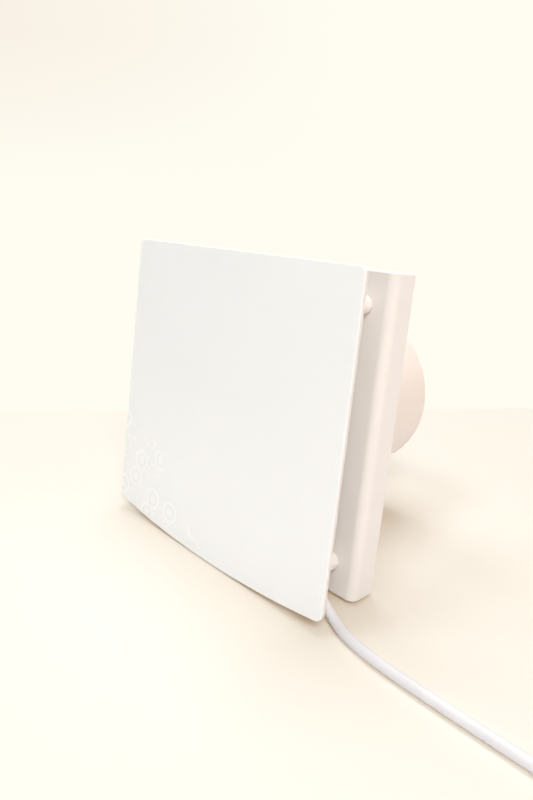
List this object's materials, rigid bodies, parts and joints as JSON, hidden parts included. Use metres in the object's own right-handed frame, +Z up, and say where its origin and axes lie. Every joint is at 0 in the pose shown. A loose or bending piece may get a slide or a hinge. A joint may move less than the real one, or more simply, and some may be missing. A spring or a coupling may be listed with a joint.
{
  "type": "bathroom extractor fan",
  "caption": "White wall extractor fan with a flat front panel held clear of a square casing, an axial impeller, a round duct spigot with a sprung damper, and a mains cord with a plug.",
  "frame": {"origin": "middle of the fan's footprint on the floor, leaning back as it stands, without its cord", "axes": "+X to the fan's right as seen from the front, +Y from the front panel to the duct, +Z up"},
  "size_m": [0.3587, 0.151, 0.171],
  "materials": {
    "gloss_white": "polished white",
    "satin_white": "satin white moulding",
    "foam": "closed-cell foam",
    "zinc_steel": "zinc plated",
    "motor_grey": "grey paint",
    "black_rubber": "matt",
    "lamination_steel": "laminated",
    "copper": "enamelled wire",
    "bronze": "sintered",
    "dark_plastic": "moulded",
    "white_cord": "smooth white sheath"
  },
  "bodies": {
    "casing": {"casing_shell": "satin_white", "rear_housing": "satin_white", "duct_spigot": "satin_white", "wall_gasket": "foam", "casing_screw_top": "zinc_steel", "casing_screw_bottom": "zinc_steel", "casing_screw_left": "zinc_steel", "casing_screw_right": "zinc_steel", "motor_housing": "motor_grey", "motor_cover": "motor_grey", "vibration_grommet_upper_left": "black_rubber", "vibration_grommet_upper_right": "black_rubber", "vibration_grommet_lower_left": "black_rubber", "vibration_grommet_lower_right": "black_rubber", "bracket_screw_upper_left": "zinc_steel", "bracket_screw_upper_right": "zinc_steel", "bracket_screw_lower_left": "zinc_steel", "bracket_screw_lower_right": "zinc_steel", "stator_core": "lamination_steel", "upper_winding": "copper", "lower_winding": "copper", "front_bearing": "bronze", "rear_bearing": "bronze", "damper_frame": "satin_white", "damper_pin": "zinc_steel", "left_flap_spring": "zinc_steel", "right_flap_spring": "zinc_steel", "terminal_block": "dark_plastic", "terminal_cover": "satin_white", "terminal_cover_screw": "zinc_steel", "cable_clamp": "zinc_steel", "clamp_screw_upper": "zinc_steel", "clamp_screw_lower": "zinc_steel", "strain_relief": "white_cord", "motor_lead": "white_cord", "power_cord": "white_cord", "cord_coil": "white_cord", "cord_tail": "white_cord", "cord_tie": "white_cord", "plug_guard": "white_cord", "plug_body": "white_cord", "plug_blade_left": "zinc_steel", "plug_blade_right": "zinc_steel"},
    "panel": {"front_panel": "gloss_white", "panel_post_upper_left": "satin_white", "panel_post_upper_right": "satin_white", "panel_post_lower_left": "satin_white", "panel_post_lower_right": "satin_white"},
    "fan_rotor": {"rotor_core": "lamination_steel", "motor_shaft": "zinc_steel", "impeller": "satin_white", "impeller_nut": "bronze"},
    "flap_left": {"left_flap": "satin_white"},
    "flap_right": {"right_flap": "satin_white"}
  },
  "joints": [
    {"name": "panel_pull", "type": "slide", "parent": "casing", "child": "panel", "axis": [0, -0.9922, 0.1243], "range_m": [0, 0.03]},
    {"name": "impeller_spin", "type": "hinge", "parent": "casing", "child": "fan_rotor", "pos_m": [0, -0.06214, 0.08729], "axis": [0, 0.9922, -0.1243], "continuous": true},
    {"name": "left_flap_swing", "type": "hinge", "parent": "casing", "child": "flap_left", "pos_m": [0, 0.02329, 0.07659], "axis": [0, -0.1243, -0.9922], "range_deg": [0, 75], "stiffness_Nm_per_rad": 0.0009, "springref_deg": -20.05},
    {"name": "right_flap_swing", "type": "hinge", "parent": "casing", "child": "flap_right", "pos_m": [0, 0.02329, 0.07659], "axis": [0, 0.1243, 0.9922], "range_deg": [0, 75], "stiffness_Nm_per_rad": 0.0009, "springref_deg": -20.05}
  ]
}
